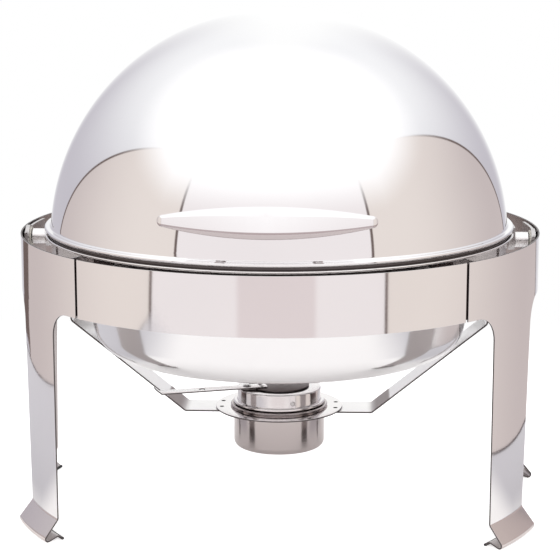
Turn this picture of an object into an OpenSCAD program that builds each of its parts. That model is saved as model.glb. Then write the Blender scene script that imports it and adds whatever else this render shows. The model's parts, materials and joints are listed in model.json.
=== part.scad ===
// Round roll top chafer: a domed lid that rolls back about two side pivots, over a food pan and
// a water pan that hang in a ring inside a banded stand with four scroll legs and a fuel burner.
// Origin: on the floor, under the middle of the whole object. X runs along the pivot axis and the
// front faces -Y. Angles around the stand are degrees from the front, counted towards +X. Each
// piece is drawn around the dome's own axis, and in_frame() moves it to its place.

/* [Lid] */
// Outer radius of the dome
dome_r = 205; // [190:1:215]
// Thickness of the dome sheet
lid_sheet = 1; // [0.8:0.1:1.5]
// Height of the lowest edge of the closed lid above the pivot axis
lid_edge = 9.25; // [9:0.05:11]
// Height of the plain skirt between that edge and the rolled bead
skirt_h = 2.8; // [2:0.1:4]
// How far the rolled bead stands out from the dome
bead_out = 5; // [3:0.5:6]
// Height of the rolled bead
bead_h = 3.5; // [3:0.1:4.5]

/* [Lid handle] */
// Overall length of the handle
handle_len = 174; // [140:1:190]
// Height of the handle at its middle
handle_h = 25; // [18:1:30]
// Height of the handle's centre line above the pivot axis
handle_up = 49; // [40:1:60]
// Distance from the dome's centre to the handle's front face
handle_reach = 224; // [222:1:230]
// Distance between the two handle posts
post_gap = 96; // [70:2:110]

/* [Stand] */
// Outer radius of the round band of the stand
band_r = 235; // [230:1:245]
// How far the centre of the band lies behind the centre of the dome
band_back = 20; // [15:1:24]
// Height of the band
band_h = 50; // [40:1:55]
// Thickness of the band and the legs
band_sheet = 1.5; // [1.2:0.1:2]
// Height of the pivot axis above the floor
pivot_z = 247; // [240:1:260]
// Angle of the two front seams, and of the two rear ones counted from the rear
seam_a = 43.4; // [38:0.2:46]
// Width of the open seam between two panels
seam_gap = 2.8; // [1:0.1:3]

/* [Legs] */
// Angle of the inner edge of a front leg
front_leg_a0 = 52.6; // [52:0.1:56]
// Angle of the outer edge of a front leg, under the band
front_leg_a1 = 71.6; // [70:0.1:76]
// Angle of the edge of a rear leg that faces the front
rear_leg_a0 = 101.5; // [98:0.5:104]
// Angle of the edge of a rear leg that faces the rear
rear_leg_a1 = 109.5; // [108:0.5:120]
// How much the outer edge of a front leg comes in on its way to the foot, in degrees, and twice
// what each edge of a rear leg does
leg_taper = 3.5; // [0:0.5:5]
// Radius of the fillets between a leg and the band
leg_fillet = 22; // [15:1:26]

/* [Pans] */
// Outer radius of the water pan's rim
water_rim_r = 202.5; // [200:0.5:203]
// Depth of the water pan under the pivot axis
water_depth = 98.5; // [85:0.5:99]
// Outer radius of the water pan's wall, just above its bottom corner
water_wall_r = 168.5; // [160:0.5:170]
// Outer radius of the food pan's rim
food_rim_r = 195; // [190:0.5:195]
// Inside depth of the food pan
food_depth = 63; // [50:1:66]

/* [Burner] */
// Outer radius of the fuel cup
cup_r = 41.5; // [38:0.5:43]
// Height of the cup below its plate
cup_h = 36; // [28:1:40]
// Outer radius of the burner plate
plate_r = 58; // [54:1:64]
// Depth of the burner plate's top face under the pivot axis
plate_drop = 155.5; // [150:0.5:157]
// Width of the two burner arms
arm_w = 36; // [28:1:38]
// Distance from the burner's axis to the bend at the lower end of an arm
arm_bend = 85; // [75:1:100]
// Slope of the arms above that bend, in degrees
arm_slope = 39; // [30:1:45]
// Length of the damper lever beyond its pivot
lever_len = 84; // [60:1:86]

/* [Hidden] */
$fa = 4;
$fs = 1;

// the dome's axis stands this far behind the origin, so that the origin is under the middle
dome_y = (handle_reach - band_back - band_r) / 2;

// half of a seam's width, as an angle
half_gap = seam_gap / 2 / band_r * 180 / PI;

// levels, all above the floor
band_top = pivot_z + 6.5;
band_bottom = band_top - band_h;
ledge_top = pivot_z + 5;
ledge_sheet = 1.5;
rail_top = pivot_z + 9.2;
rail_h = 2.2;
water_rim_h = 2;
food_rim_bottom = ledge_top + water_rim_h;
food_rim_h = 2;
plate_top = pivot_z - plate_drop;
bead_bottom = pivot_z + lid_edge + skirt_h;

// pan ring and front rail
ring_in = 189;
ring_out = 203;
ring_leg = 14;
rail_out = dome_r + bead_out;
rail_web = 1.5;
rail_end_a = 84.5;
tab_angles = [14, 41, 56];
tab_sheet = 2;
tab_h = 16;
splice_half_a = 4;
splice_sheet = 2;

// hinge
pin_r = 4;
shaft_play = 0.05;
hub_r = 6.85;
lug_r = 9;
lug_in = dome_r + 1;
lug_out = rail_out + 1.5;
bush_r = 6;
bush_flange_r = 8.5;
bush_flange = 1.5;
boss_r = 10;
hinge_sheet = 2.5;
hinge_gap = 2;
hinge_a0 = 81;
hinge_a1 = 101.5;
hinge_h = 35;
hinge_top = band_top - 1;
spacer_h = 22;
spacer_a = 3;
hinge_out = band_r - band_sheet - hinge_gap;
boss_in = 226;
boss_end = sqrt(pow(hinge_out, 2) - pow(band_back + boss_r, 2));
hub_end = boss_in - bush_flange - 0.5;

// foot scroll, walked along the middle of the sheet: down the leg, out, under and back in
foot_steps = concat([[3, 0]], bend(4, 40, 3), [[17, 0]], bend(2.6, -150, 9), [[8, 0]],
    bend(2.5, 55, 4));
foot_drop = -min([for (q = walk([0, 0], -90, foot_steps)) q.y]);
foot_top = foot_drop + band_sheet / 2;
foot_scroll = walk([band_r - band_sheet / 2, foot_top], -90, foot_steps);
scroll_end = foot_scroll[len(foot_scroll) - 1];
glide_r = 1.3;
glide_cut = 0.3;
lip = (scroll_end.y - glide_r + glide_cut) / -sin(scroll_end.z);
panel_line = walk([band_r - band_sheet / 2, band_top], -90,
    concat([[band_top - foot_top, 0]], foot_steps, [[lip, 0]]));

// water pan
pan_sheet = 1;
water_top_r = 184;
water_corner = 26;
water_bottom = pivot_z - water_depth;

// food pan
food_top_r = 178;
food_bottom_r = 167;
food_corner = 12;
food_bottom = food_rim_bottom + food_rim_h - food_depth - pan_sheet;

// rivets of the arms
rivet_r = 2;
rivet_y = 10;
rivet_head_r = 3.5;
rivet_head_h = 1.2;
plate_rivet_x = plate_r - 6;
hang_rivet_x = 196;

// burner arm, walked along the middle of the sheet from the plate up to its tab under the ring
arm_sheet = 1.5;
arm_in = 46;
arm_bend_r = 4;
hang_x = 188;
hang_bend_r = 2.2;
hang_tab_x = 200;
arm_low = plate_top - ledge_sheet - arm_sheet / 2;
arm_high = ledge_top - ledge_sheet - arm_sheet / 2;
arm_flat = arm_bend - arm_in - arm_bend_r * tan(arm_slope / 2);
arm_slant = (hang_x - arm_in - arm_flat - arm_bend_r) / cos(arm_slope);
arm_rise = arm_high - arm_low - arm_bend_r - arm_slant * sin(arm_slope) - hang_bend_r;
arm_line = walk([arm_in, arm_low], 0, concat([[arm_flat, 0]], bend(arm_bend_r, arm_slope, 4),
    [[arm_slant, 0]], bend(arm_bend_r, 90 - arm_slope, 4), [[arm_rise, 0]],
    bend(hang_bend_r, -90, 6), [[hang_tab_x - hang_x - hang_bend_r, 0]]));

// burner
cup_corner = 6;
rolled_edge = 3;
collar_r = 38.5;
collar_h = 15;
collar_bottom = plate_top + rolled_edge;
collar_top = collar_bottom + collar_h;
vent_r = 24;
cover_r = 27.5;
damper_gap = 0.4;
damper_sheet = 1.2;
damper_at = [-28.5, -15.5];
damper_z = collar_top + damper_gap;
damper_pin_r = 2.5;
ear_r = 6.5;
lever_z = damper_z + damper_sheet;
lever_a = 198;
lever_w = 13;
lever_tail = 18;
lever_tip = 7;
lever_tip_a = 40;
finger_hole_r = 2.8;
small_rivet_r = 1.2;
small_head_r = 2.2;

// lid handle and its fixings, distances along a post counted from the dome's centre
handle_tip = 4.4;
handle_deep = 12;
handle_slope = 4.5;
post_out = handle_reach - 10;
post_reach = norm([post_gap / 2, post_out, handle_up]);
post_turn = atan2(post_gap / 2, post_out);
post_lift = asin(handle_up / post_reach);
post_r = 5;
stud_r = 2.5;
nut_r = 5.5;
nut_h = 4;
nut_cap_r = 4.2;
washer_r = 7;
washer_h = 1.2;
washer_out = sqrt(pow(dome_r - lid_sheet, 2) - pow(washer_r, 2)) - 0.01;
stud_end = washer_out - washer_h - nut_h - 0.5;

// points along an arc
function arc(c, r, a0, a1, n) = [for (i = [0:n])
    [c.x + r * cos(a0 + (a1 - a0) * i / n), c.y + r * sin(a0 + (a1 - a0) * i / n)]];

// steps of a walked line: [length, turn in degrees]
function bend(r, turn, n) = [for (i = [1:n]) [2 * r * sin(abs(turn) / n / 2), turn / n]];
function walk(p, h, steps, i = 0) = i == len(steps) ? [[p.x, p.y, h]] :
    concat([[p.x, p.y, h]], walk([p.x + steps[i].x * cos(h + steps[i].y / 2),
        p.y + steps[i].x * sin(h + steps[i].y / 2)], h + steps[i].y, steps, i + 1));
function side(line, d) = [for (q = line) [q.x - d * sin(q.z), q.y + d * cos(q.z)]];
function back_to_front(list) = [for (i = [len(list) - 1:-1:0]) list[i]];
function strip(line, t) = concat(side(line, t / 2), back_to_front(side(line, -t / 2)));
// distance from the dome's axis to the inside of the band, at an angle from the front
function band_reach(a) = sqrt(pow(band_r - band_sheet, 2) - pow(band_back * sin(a), 2))
    - band_back * cos(a);

module in_frame() {
    translate([0, dome_y, 0]) children();
}

// a section turned about the stand's axis from one angle to another
module around_stand(a0, a1) {
    translate([0, band_back, 0]) rotate([0, 0, a0 - 90]) rotate_extrude(angle = a1 - a0)
        children();
}

// a section turned about the dome's axis from one angle to another
module around_dome(a0, a1) {
    rotate([0, 0, a0 - 90]) rotate_extrude(angle = a1 - a0) children();
}

module ring(r_in, r_out, z0, z1) {
    rotate_extrude() translate([r_in, z0]) square([r_out - r_in, z1 - z0]);
}

// cylinder along +X
module rod_x(r, x0, x1, z = pivot_z) {
    translate([x0, 0, z]) rotate([0, 90, 0]) cylinder(r = r, h = x1 - x0);
}

module both_sides() {
    children();
    mirror([1, 0, 0]) children();
}

module band_piece(a0, a1) {
    around_stand(a0, a1) translate([band_r - band_sheet, band_bottom])
        square([band_sheet, band_h]);
}

module front_band() {
    color("lightgray") in_frame() band_piece(-seam_a + half_gap, seam_a - half_gap);
}

module rear_band() {
    color("lightgray") in_frame() band_piece(180 - seam_a + half_gap, 180 + seam_a - half_gap);
}

// an opening under the band between two angles, rounded at its upper corners and cut straight
// through towards its own middle; its sides may lean to other angles at the floor
module leg_gap(a0, a1, a0_floor, a1_floor) {
    mid = (a0 + a1) / 2;
    x = [for (a = [a0, a1, a0_floor, a1_floor]) band_r * sin(a - mid)];
    z = band_bottom - leg_fillet;
    translate([0, band_back, 0]) rotate([0, 0, mid]) translate([0, -band_r / 2, 0])
        rotate([90, 0, 0]) linear_extrude(band_r)
            polygon(concat([[x[2], -1]], arc([x[0] + leg_fillet, z], leg_fillet, 180, 90, 16),
                arc([x[1] - leg_fillet, z], leg_fillet, 90, 0, 16), [[x[3], -1]]));
}

// side of the band with its two legs and their scroll feet, bent from one sheet
module side_panel() {
    beyond = 14;
    difference() {
        around_stand(seam_a + half_gap, 180 - seam_a - half_gap)
            polygon(strip(panel_line, band_sheet));
        leg_gap(seam_a - beyond, front_leg_a0, seam_a - beyond, front_leg_a0);
        leg_gap(front_leg_a1, rear_leg_a0, front_leg_a1 - leg_taper, rear_leg_a0 + leg_taper / 2);
        leg_gap(rear_leg_a1, 180 - seam_a + beyond, rear_leg_a1 - leg_taper / 2,
            180 - seam_a + beyond);
    }
}

module left_side_panel() {
    color("gainsboro") in_frame() mirror([1, 0, 0]) side_panel();
}

module right_side_panel() {
    color("gainsboro") in_frame() side_panel();
}

module seam_splices() {
    inset = 2;
    color("dimgray") in_frame() both_sides() for (a = [seam_a, 180 - seam_a])
        around_stand(a - splice_half_a, a + splice_half_a)
            translate([band_r - band_sheet - splice_sheet, band_bottom + inset])
                square([splice_sheet, band_h - 2 * inset]);
}

// rubber edge on the turned-down end of each scroll foot, flat where it stands on the floor
module foot_glide(a0, a1) {
    n = len(panel_line);
    tip = panel_line[n - 1];
    around_stand(a0, a1) difference() {
        polygon([for (q = arc(tip, glide_r, 0, 345, 23)) [q.x, max(0, q.y)]]);
        polygon(strip([panel_line[n - 2], tip], band_sheet));
    }
}

module foot_glides() {
    color("black") in_frame() both_sides() {
        foot_glide(front_leg_a0, front_leg_a1 - leg_taper);
        foot_glide(rear_leg_a0 + leg_taper / 2, rear_leg_a1 - leg_taper / 2);
    }
}

module pan_ring() {
    color("silver") in_frame() {
        ring(ring_in, ring_out, ledge_top - ledge_sheet, ledge_top);
        ring(ring_out - ledge_sheet, ring_out, ledge_top - ring_leg, ledge_top - ledge_sheet);
    }
}

module front_rail() {
    color("whitesmoke") in_frame() around_dome(-rail_end_a, rail_end_a) union() {
        translate([ring_out, ledge_top - ring_leg])
            square([rail_web, rail_top - ledge_top + ring_leg]);
        translate([ring_out, rail_top - rail_h]) square([rail_out - ring_out - rail_h / 2, rail_h]);
        translate([rail_out - rail_h / 2, rail_top - rail_h / 2]) circle(d = rail_h, $fn = 24);
    }
}

module rail_tabs() {
    color("silver") in_frame() both_sides() for (a = tab_angles)
        intersection() {
            rotate([0, 0, a]) translate([-tab_sheet / 2, -band_reach(a) - 3, ledge_top - tab_h])
                cube([tab_sheet, 40, tab_h - 4]);
            difference() {
                translate([0, band_back, 0]) cylinder(r = band_r - band_sheet, h = 2 * pivot_z);
                cylinder(r = ring_out + rail_web, h = 2 * pivot_z);
            }
        }
}

module hinge_plate() {
    color("gray") in_frame() difference() {
        union() {
            around_stand(hinge_a0, hinge_a1)
                translate([hinge_out - hinge_sheet, hinge_top - hinge_h])
                    square([hinge_sheet, hinge_h]);
            for (a = [hinge_a0 + 1, hinge_a1 - 1 - spacer_a])
                around_stand(a, a + spacer_a)
                    translate([hinge_out - 0.5, hinge_top - (hinge_h + spacer_h) / 2])
                        square([hinge_gap + 0.5, spacer_h]);
            rod_x(boss_r, boss_in, boss_end);
        }
        rod_x(bush_r, boss_in - 1, band_r);
    }
}

module left_hinge_plate() {
    mirror([1, 0, 0]) hinge_plate();
}

module right_hinge_plate() {
    hinge_plate();
}

module hinge_bushes() {
    color("ivory") in_frame() both_sides() difference() {
        union() {
            rod_x(bush_r, boss_in - 0.5, boss_end);
            rod_x(bush_flange_r, boss_in - bush_flange, boss_in);
        }
        rod_x(pin_r + shaft_play, boss_in - 5, band_r);
    }
}

module friction_washers() {
    color("black") in_frame() both_sides() difference() {
        rod_x(hub_r - 0.4, boss_in - bush_flange - 0.4, boss_in - bush_flange);
        rod_x(pin_r + shaft_play, boss_in - 5, band_r);
    }
}

// a flat bar hung under the pan ring, sloping down and inwards to the burner plate
module burner_arm() {
    color("lightsteelblue") in_frame() difference() {
        translate([0, arm_w / 2, 0]) rotate([90, 0, 0]) linear_extrude(arm_w)
            polygon(strip(arm_line, arm_sheet));
        for (x = [hang_rivet_x, plate_rivet_x])
            for (y = [-rivet_y, rivet_y])
                translate([x, y, 0]) cylinder(r = rivet_r, h = 2 * pivot_z);
    }
}

module left_burner_arm() {
    mirror([1, 0, 0]) burner_arm();
}

module right_burner_arm() {
    burner_arm();
}

// a rivet from z0 up to z1, with a low round head below it, at the four places of one kind
module arm_rivets(x, z0, z1) {
    color("gray") in_frame() both_sides() for (y = [-rivet_y, rivet_y]) translate([x, y, z0]) {
        cylinder(r = rivet_r, h = z1 - z0);
        translate([0, 0, -rivet_head_h])
            cylinder(r1 = rivet_head_r * 0.7, r2 = rivet_head_r, h = rivet_head_h);
    }
}

module hanger_rivets() {
    arm_rivets(hang_rivet_x, ledge_top - ledge_sheet - arm_sheet, ledge_top - ledge_sheet);
}

module burner_plate() {
    color("silver") in_frame() difference() {
        ring(cup_r + 0.2, plate_r, plate_top - ledge_sheet, plate_top);
        both_sides() for (y = [-rivet_y, rivet_y])
            translate([plate_rivet_x, y, 0]) cylinder(r = rivet_r, h = pivot_z);
    }
}

module plate_rivets() {
    arm_rivets(plate_rivet_x, plate_top - ledge_sheet - arm_sheet, plate_top);
}

// half of the cup's section, or of the room inside it, with a round bottom corner
module cup_section(r, z0, z1, corner) {
    polygon(concat([[0, z0]], arc([r - corner, z0 + corner], corner, -90, 0, 12), [[r, z1], [0, z1]]));
}

// a rolled edge that stands out from a wall of this radius
module rolled_section(r, z0) {
    translate([r - 0.2, z0]) square([rolled_edge / 2 + 0.5, rolled_edge]);
    translate([r + rolled_edge / 2 + 0.3, z0 + rolled_edge / 2]) circle(d = rolled_edge, $fn = 24);
}

module fuel_cup() {
    floor_z = plate_top - cup_h - ledge_sheet;
    top = plate_top + rolled_edge;
    color("darkgray") in_frame() rotate_extrude() difference() {
        union() {
            cup_section(cup_r, floor_z, top, cup_corner);
            rolled_section(cup_r, plate_top);
        }
        cup_section(cup_r - pan_sheet, floor_z + pan_sheet, top + 1, cup_corner - pan_sheet);
    }
}

module burner_collar() {
    color("silver") in_frame() difference() {
        rotate_extrude() union() {
            translate([collar_r - pan_sheet, collar_bottom]) square([pan_sheet, collar_h]);
            rolled_section(collar_r, collar_bottom);
            translate([vent_r, collar_top - pan_sheet]) square([collar_r - vent_r, pan_sheet]);
        }
        translate([damper_at.x, damper_at.y, collar_top - collar_h / 2])
            cylinder(r = damper_pin_r, h = collar_h);
        at_collar_rivets() cylinder(r = small_rivet_r, h = 4, center = true);
    }
}

// the two rivets in the collar's wall, with +Z out of the wall and 0 on its outside
module at_collar_rivets() {
    for (a = [21, 201])
        rotate([0, 0, a]) translate([0, -collar_r, collar_bottom + 7]) rotate([90, 0, 0]) children();
}

module collar_rivets() {
    color("gray") in_frame() at_collar_rivets() {
        translate([0, 0, -pan_sheet - 0.3]) cylinder(r = small_rivet_r, h = pan_sheet + 0.3);
        cylinder(r = small_head_r, h = 0.6);
        translate([0, 0, 0.6]) cylinder(r1 = small_head_r, r2 = small_rivet_r, h = 0.6);
    }
}

// round cover with an ear at its edge, on which it turns
module damper_cover() {
    to_centre = norm(damper_at);
    color("dimgray") in_frame() difference() {
        union() {
            translate([0, 0, damper_z]) cylinder(r = cover_r, h = damper_sheet);
            translate([damper_at.x, damper_at.y, damper_z]) {
                cylinder(r = ear_r, h = damper_sheet);
                rotate([0, 0, atan2(-damper_at.y, -damper_at.x)]) translate([0, -ear_r, 0])
                    cube([to_centre, 2 * ear_r, damper_sheet]);
            }
        }
        translate([damper_at.x, damper_at.y, 0])
            cylinder(r = damper_pin_r + shaft_play, h = pivot_z);
    }
}

// the lever's own place, with +X along it and 0 at the pivot
module at_lever() {
    translate([damper_at.x, damper_at.y, lever_z]) rotate([0, 0, lever_a]) children();
}

// the two rivets that join the lever to the cover's upper side
module at_lever_rivets() {
    for (y = [-3.2, 3.2]) translate([5 - lever_tail, y, 0]) children();
}

// flat lever with a finger hole and a turned-up tip
module damper_lever() {
    flat = lever_len - lever_tip / 2;
    color("silver") in_frame() at_lever() difference() {
        union() {
            translate([-lever_tail, -lever_w / 2, 0])
                cube([lever_tail + flat, lever_w, damper_sheet]);
            translate([flat - damper_sheet / 2, 0, damper_sheet / 2]) rotate([0, -lever_tip_a, 0])
                translate([0, -lever_w / 2, -damper_sheet / 2])
                    cube([lever_tip, lever_w, damper_sheet]);
        }
        translate([0, 0, -1]) cylinder(r = damper_pin_r + shaft_play, h = 5);
        translate([lever_len / 2, 0, -1]) cylinder(r = finger_hole_r, h = 5);
        at_lever_rivets() translate([0, 0, -1]) cylinder(r = small_rivet_r, h = 5);
    }
}

module lever_rivets() {
    color("gray") in_frame() at_lever() at_lever_rivets() {
        cylinder(r = small_rivet_r, h = damper_sheet);
        translate([0, 0, damper_sheet]) cylinder(r1 = small_head_r, r2 = small_rivet_r, h = 0.8);
    }
}

module damper_pivot() {
    top = lever_z + damper_sheet + 0.3;
    under = collar_top - pan_sheet;
    color("gray") in_frame() translate([damper_at.x, damper_at.y, 0]) {
        translate([0, 0, under]) cylinder(r = damper_pin_r, h = top - under);
        translate([0, 0, top]) cylinder(r1 = damper_pin_r + 1.5, r2 = damper_pin_r, h = 1.2);
        translate([0, 0, under - 0.8]) cylinder(r = damper_pin_r + 1.1, h = 0.8);
    }
}

// drawn pan: wall leaning from its bottom corner to its top, flat bottom, on the dome's axis
module pan_shape(top_r, wall_r, corner, z_bottom, z_top) {
    lean = atan2(top_r - wall_r, z_top - z_bottom - corner);
    polygon(concat([[0, z_bottom]],
        arc([wall_r - corner, z_bottom + corner], corner, -90, -lean, 18), [[top_r, z_top], [0, z_top]]));
}

module drawn_pan(top_r, wall_r, corner, z_bottom, rim_z, rim_r, rim_h) {
    bead = rim_h / 2;
    rotate_extrude() difference() {
        union() {
            pan_shape(top_r, wall_r, corner, z_bottom, rim_z + 0.01);
            translate([0, rim_z]) square([rim_r - bead, pan_sheet]);
            translate([rim_r - bead, rim_z + bead]) circle(r = bead, $fn = 24);
        }
        pan_shape(top_r - pan_sheet, wall_r - pan_sheet, corner - pan_sheet,
            z_bottom + pan_sheet, rim_z + rim_h + 0.01);
    }
}

module water_pan() {
    color("gainsboro") in_frame() drawn_pan(water_top_r, water_wall_r, water_corner, water_bottom,
        ledge_top, water_rim_r, water_rim_h);
}

module food_pan() {
    color("silver") in_frame() drawn_pan(food_top_r, food_bottom_r, food_corner, food_bottom,
        food_rim_bottom, food_rim_r, food_rim_h);
}

module lid_dome() {
    cut = pivot_z + lid_edge;
    tube = bead_h / 2;
    color("white") in_frame() {
        difference() {
            translate([0, 0, pivot_z]) sphere(r = dome_r);
            translate([0, 0, pivot_z]) sphere(r = dome_r - lid_sheet);
            translate([-2 * dome_r, -2 * dome_r, cut - 4 * dome_r])
                cube([4 * dome_r, 4 * dome_r, 4 * dome_r]);
            at_posts() translate([0, 0, dome_r - 10]) cylinder(r = stud_r + shaft_play, h = 20);
        }
        rotate_extrude() union() {
            translate([dome_r - lid_sheet, bead_bottom]) square([bead_out + lid_sheet - tube, bead_h]);
            translate([dome_r + bead_out - tube, bead_bottom + tube]) circle(r = tube, $fn = 32);
        }
    }
}

// ear under the bead that carries the lid on its pivot
module lid_lug() {
    color("lightgray") in_frame() difference() {
        union() {
            rod_x(lug_r, lug_in, lug_out);
            translate([lug_in, -lug_r, pivot_z])
                cube([lug_out - lug_in, 2 * lug_r, bead_bottom - pivot_z]);
        }
        rod_x(pin_r, lug_in - 1, lug_out + 1);
    }
}

module left_lid_lug() {
    mirror([1, 0, 0]) lid_lug();
}

module right_lid_lug() {
    lid_lug();
}

module pivot_hubs() {
    color("white") in_frame() both_sides() difference() {
        rod_x(hub_r, lug_out, hub_end);
        rod_x(pin_r, lug_out - 1, hub_end + 1);
    }
}

module pivot_pins() {
    color("gray") in_frame() both_sides() rod_x(pin_r, lug_in + 1, boss_end + 0.5);
}

// handle seen from the front: a lens between two flat arcs, with round ends
module handle_front() {
    reach = handle_len / 2 - handle_tip;
    rise = handle_h / 2 - handle_tip;
    r = (pow(reach, 2) + pow(rise, 2)) / (2 * rise);
    swing = asin(reach / r);
    polygon(concat(arc([0, handle_h / 2 - r], r, 90 + swing, 90 - swing, 40),
        arc([reach, 0], handle_tip, 90, -90, 16),
        arc([0, r - handle_h / 2], r, swing - 90, -swing - 90, 40),
        arc([-reach, 0], handle_tip, 270, 90, 16)));
}

// handle seen from above: bowed forwards, a little thinner towards its ends
module handle_plan() {
    front_r = 300;
    back_r = 420;
    front_swing = asin(handle_len / 2 / front_r);
    back_swing = asin(handle_len / 2 / back_r);
    polygon(concat(
        arc([0, front_r - handle_reach], front_r, -90 - front_swing, front_swing - 90, 40),
        arc([0, back_r - handle_reach + handle_deep], back_r,
            back_swing - 90, -90 - back_swing, 40)));
}

// handle seen from its end: the front face leans back up to a crease, above which its top slopes
// back further, and it turns under at its lower edge
module handle_end() {
    back = 2 * handle_deep;
    polygon([[0, -0.3 * handle_h], [1.5, -handle_h / 2], [back, -handle_h / 2],
        [back, handle_h / 2], [handle_slope + 3, handle_h / 2], [handle_slope, 0.2 * handle_h]]);
}

module handle_bar() {
    z = pivot_z + handle_up;
    intersection() {
        translate([0, 0, z]) rotate([90, 0, 0]) linear_extrude(2 * dome_r) handle_front();
        translate([0, 0, z - handle_h]) linear_extrude(2 * handle_h) handle_plan();
        translate([-handle_len / 2, -handle_reach, z]) rotate([90, 0, 90])
            linear_extrude(handle_len) handle_end();
    }
}

module lid_handle() {
    color("white") in_frame() handle_bar();
}

// the two places where the handle is fixed, with +Z square out of the dome and 0 at its centre
module at_posts() {
    for (s = [-1, 1])
        translate([0, 0, pivot_z]) rotate([0, 0, s * post_turn]) rotate([90 - post_lift, 0, 0])
            children();
}

module handle_posts() {
    color("silver") in_frame() {
        difference() {
            at_posts() translate([0, 0, dome_r]) cylinder(r = post_r, h = post_reach - dome_r);
            handle_bar();
        }
        at_posts() translate([0, 0, stud_end]) cylinder(r = stud_r, h = dome_r + 1 - stud_end);
    }
}

module handle_washers() {
    color("gray") in_frame() at_posts() translate([0, 0, washer_out - washer_h]) difference() {
        cylinder(r = washer_r, h = washer_h);
        translate([0, 0, -1]) cylinder(r = stud_r + shaft_play, h = washer_h + 2);
    }
}

// six-sided nuts with a round cap over the end of each stud
module handle_nuts() {
    color("silver") in_frame() at_posts()
        translate([0, 0, washer_out - washer_h - nut_h]) difference() {
            union() {
                cylinder(r = nut_r, h = nut_h, $fn = 6);
                sphere(r = nut_cap_r);
            }
            translate([0, 0, -1]) cylinder(r = stud_r + shaft_play, h = nut_h + 2);
        }
}

front_band();
rear_band();
left_side_panel();
right_side_panel();
seam_splices();
foot_glides();
pan_ring();
front_rail();
rail_tabs();
left_hinge_plate();
right_hinge_plate();
hinge_bushes();
friction_washers();
left_burner_arm();
right_burner_arm();
hanger_rivets();
burner_plate();
plate_rivets();
fuel_cup();
burner_collar();
collar_rivets();
damper_cover();
damper_lever();
lever_rivets();
damper_pivot();
water_pan();
food_pan();
lid_dome();
left_lid_lug();
right_lid_lug();
pivot_hubs();
pivot_pins();
lid_handle();
handle_posts();
handle_washers();
handle_nuts();
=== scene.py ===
import json
from math import asin, atan2, cos, degrees, pi, radians, sin, sqrt, tan

import bmesh
import bpy
from mathutils import Matrix, Vector


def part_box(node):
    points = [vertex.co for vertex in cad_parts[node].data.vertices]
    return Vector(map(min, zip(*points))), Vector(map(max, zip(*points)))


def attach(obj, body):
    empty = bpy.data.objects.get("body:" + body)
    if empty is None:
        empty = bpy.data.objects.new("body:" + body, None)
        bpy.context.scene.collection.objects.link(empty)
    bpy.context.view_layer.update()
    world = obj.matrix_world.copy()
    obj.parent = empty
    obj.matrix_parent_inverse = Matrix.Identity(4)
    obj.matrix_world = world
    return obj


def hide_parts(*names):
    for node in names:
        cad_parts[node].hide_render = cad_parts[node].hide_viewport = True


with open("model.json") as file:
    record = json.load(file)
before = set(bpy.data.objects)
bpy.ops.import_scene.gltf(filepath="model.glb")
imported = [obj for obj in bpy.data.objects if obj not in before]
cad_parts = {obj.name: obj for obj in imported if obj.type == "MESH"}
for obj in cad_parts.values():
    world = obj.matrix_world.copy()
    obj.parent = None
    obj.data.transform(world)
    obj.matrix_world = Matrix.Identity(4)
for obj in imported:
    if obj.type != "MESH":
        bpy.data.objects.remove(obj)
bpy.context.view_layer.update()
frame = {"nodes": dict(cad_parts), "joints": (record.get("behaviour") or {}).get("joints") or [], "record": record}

MM = 0.001

# ---------------------------------------------------------------- sizes from the CAD frame, and its sheets

joints = {j["name"]: j for j in frame["joints"]}
AXIS_Y, PIVOT_Z = joints["lid_roll"]["pos_m"][1:]
band_lo, band_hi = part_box("front_band")
STAND_Y = (band_lo.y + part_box("rear_band")[1].y) / 2
BAND_R = (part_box("rear_band")[1].y - band_lo.y) / 2
SHEET = 1.5 * MM        # the bands, legs, ring, rail and burner arms
THIN = 1.0 * MM         # the lid, the pans, the fuel cup and the collar
DOME = (0.0, AXIS_Y)
SIDES = ((-1, "left"), (1, "right"))


# ---------------------------------------------------------------- outlines and meshes

def arc(cx, cy, r, a0, a1, n):
    """n + 1 points from angle a0 to a1, in degrees."""
    return [(cx + r * cos(radians(a0 + (a1 - a0) * i / n)),
             cy + r * sin(radians(a0 + (a1 - a0) * i / n))) for i in range(n + 1)]


def rounded(points, radius, n=5, closed=True):
    """The polyline with its corners turned into arcs. A point may carry its own radius as a third number."""
    out, count = [], len(points)
    for i, p in enumerate(points):
        r = p[2] if len(p) > 2 else radius
        here = Vector(p[:2])
        if r <= 0 or (not closed and i in (0, count - 1)):
            out.append(tuple(here))
            continue
        back = (Vector(points[i - 1][:2]) - here).normalized()
        on = (Vector(points[(i + 1) % count][:2]) - here).normalized()
        half = back.angle(on) / 2
        if half > radians(89.9):
            out += [tuple(here)] * (n + 1)
            continue
        reach = min(r / tan(half), 0.49 * (Vector(points[i - 1][:2]) - here).length,
                    0.49 * (Vector(points[(i + 1) % count][:2]) - here).length)
        true_r = reach * tan(half)
        middle = here + (back + on).normalized() * (true_r / sin(half))
        start, end = here + back * reach - middle, here + on * reach - middle
        turn = start.angle_signed(end)
        for k in range(n + 1):
            a = -turn * k / n
            out.append((middle.x + start.x * cos(a) - start.y * sin(a),
                        middle.y + start.x * sin(a) + start.y * cos(a)))
    return out


def thick(path, t):
    """Closed outline of a sheet of thickness t whose middle runs along path."""
    sharpest = 0.3
    left, right = [], []
    for i, p in enumerate(path):
        here = Vector(p)
        d0 = (here - Vector(path[i - 1])).normalized() if i else None
        d1 = (Vector(path[i + 1]) - here).normalized() if i < len(path) - 1 else None
        d0, d1 = d0 or d1, d1 or d0
        n0, n1 = Vector((-d0.y, d0.x)), Vector((-d1.y, d1.x))
        mitre = (n0 + n1).normalized()
        mitre *= t / 2 / max(mitre.dot(n0), sharpest)
        left.append(tuple(here + mitre))
        right.append(tuple(here - mitre))
    return left + right[::-1]


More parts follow.
